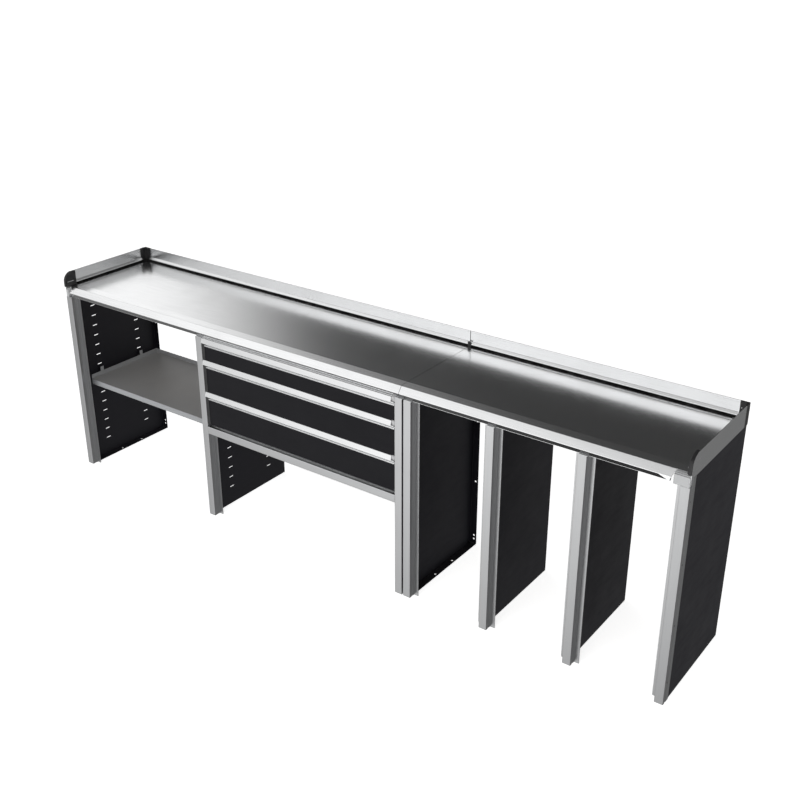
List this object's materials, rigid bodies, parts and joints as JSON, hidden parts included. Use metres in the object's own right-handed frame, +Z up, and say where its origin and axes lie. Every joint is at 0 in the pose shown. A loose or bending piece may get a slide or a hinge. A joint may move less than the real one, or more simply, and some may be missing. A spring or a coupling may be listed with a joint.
{
  "type": "workbench with drawers",
  "caption": "Long workshop bench with a steel worktop, raised aluminium edging, a shelf bay, a stack of black drawers with silver grips and open bays between black uprights.",
  "frame": {"origin": "middle of the bench's footprint, at floor level", "axes": "+X to the right along the bench as seen from the front, -Y out of the drawer fronts towards the user, +Z up"},
  "size_m": [3.048, 0.501, 0.984],
  "materials": {
    "post_aluminium": "satin anodised extrusion",
    "upright_black": "fine black powder coat",
    "worktop_steel": "fine brushed sheet",
    "plywood": "raw plywood",
    "edging_aluminium": "satin anodised extrusion",
    "corner_aluminium": "matt",
    "cap_plastic": "fine moulded texture",
    "seal_rubber": "matt",
    "shelf_grey": "grey powder coat",
    "bar_aluminium": "satin anodised extrusion",
    "grip_aluminium": "bright anodised extrusion",
    "grip_cap_grey": "fine moulded texture",
    "drawer_black": "black powder coat",
    "drawer_box_grey": "grey powder coat",
    "runner_zinc": "zinc plated",
    "slider_zinc": "zinc plated"
  },
  "bodies": {
    "bench": {"post_left_end": "post_aluminium", "post_shelf_drawer_divider": "post_aluminium", "post_left_module_right": "post_aluminium", "post_right_module_left": "post_aluminium", "post_right_module_second": "post_aluminium", "post_right_module_third": "post_aluminium", "post_right_end": "post_aluminium", "upright_left_end": "upright_black", "upright_shelf_drawer_divider": "upright_black", "upright_left_module_right": "upright_black", "upright_right_module_left": "upright_black", "upright_right_module_second": "upright_black", "upright_right_module_third": "upright_black", "upright_right_end": "upright_black", "worktop_left_skin": "worktop_steel", "worktop_right_skin": "worktop_steel", "worktop_left_core": "plywood", "worktop_right_core": "plywood", "upstand_left": "edging_aluminium", "upstand_right": "edging_aluminium", "upstand_rear_left": "edging_aluminium", "upstand_rear_right": "edging_aluminium", "corner_block_left": "corner_aluminium", "corner_block_right": "corner_aluminium", "end_cap_left": "cap_plastic", "end_cap_right": "cap_plastic", "corner_cap_left": "cap_plastic", "corner_cap_right": "cap_plastic", "edge_seal_left": "seal_rubber", "edge_seal_right": "seal_rubber", "shelf_tray": "shelf_grey", "drawer_bay_cross_bar": "bar_aluminium", "drawer_bay_top_rail": "bar_aluminium", "drawer_top_runner_left": "runner_zinc", "drawer_top_runner_right": "runner_zinc", "drawer_middle_runner_left": "runner_zinc", "drawer_middle_runner_right": "runner_zinc", "drawer_bottom_runner_left": "runner_zinc", "drawer_bottom_runner_right": "runner_zinc"},
    "drawer_top": {"drawer_top_box": "drawer_box_grey", "drawer_top_front": "drawer_black", "drawer_top_grip": "grip_aluminium", "drawer_top_grip_cap": "grip_cap_grey", "drawer_top_side_cap": "cap_plastic"},
    "drawer_top_sliders": {"drawer_top_slider_left": "slider_zinc", "drawer_top_slider_right": "slider_zinc"},
    "drawer_middle": {"drawer_middle_box": "drawer_box_grey", "drawer_middle_front": "drawer_black", "drawer_middle_grip": "grip_aluminium", "drawer_middle_grip_cap": "grip_cap_grey", "drawer_middle_side_cap": "cap_plastic"},
    "drawer_middle_sliders": {"drawer_middle_slider_left": "slider_zinc", "drawer_middle_slider_right": "slider_zinc"},
    "drawer_bottom": {"drawer_bottom_box": "drawer_box_grey", "drawer_bottom_front": "drawer_black", "drawer_bottom_grip": "grip_aluminium", "drawer_bottom_grip_cap": "grip_cap_grey", "drawer_bottom_side_cap": "cap_plastic"},
    "drawer_bottom_sliders": {"drawer_bottom_slider_left": "slider_zinc", "drawer_bottom_slider_right": "slider_zinc"}
  },
  "joints": [
    {"name": "drawer_top_slide", "type": "slide", "parent": "bench", "child": "drawer_top", "axis": [0, -1, 0], "range_m": [0, 0.4]},
    {"name": "drawer_top_sliders_slide", "type": "slide", "parent": "bench", "child": "drawer_top_sliders", "axis": [0, -1, 0], "range_m": [0, 0.2]},
    {"name": "drawer_middle_slide", "type": "slide", "parent": "bench", "child": "drawer_middle", "axis": [0, -1, 0], "range_m": [0, 0.4]},
    {"name": "drawer_middle_sliders_slide", "type": "slide", "parent": "bench", "child": "drawer_middle_sliders", "axis": [0, -1, 0], "range_m": [0, 0.2]},
    {"name": "drawer_bottom_slide", "type": "slide", "parent": "bench", "child": "drawer_bottom", "axis": [0, -1, 0], "range_m": [0, 0.4]},
    {"name": "drawer_bottom_sliders_slide", "type": "slide", "parent": "bench", "child": "drawer_bottom_sliders", "axis": [0, -1, 0], "range_m": [0, 0.2]}
  ],
  "couplings": [
    {"joint": "drawer_top_sliders_slide", "follows": "drawer_top_slide", "ratio": 0.5},
    {"joint": "drawer_middle_sliders_slide", "follows": "drawer_middle_slide", "ratio": 0.5},
    {"joint": "drawer_bottom_sliders_slide", "follows": "drawer_bottom_slide", "ratio": 0.5}
  ]
}
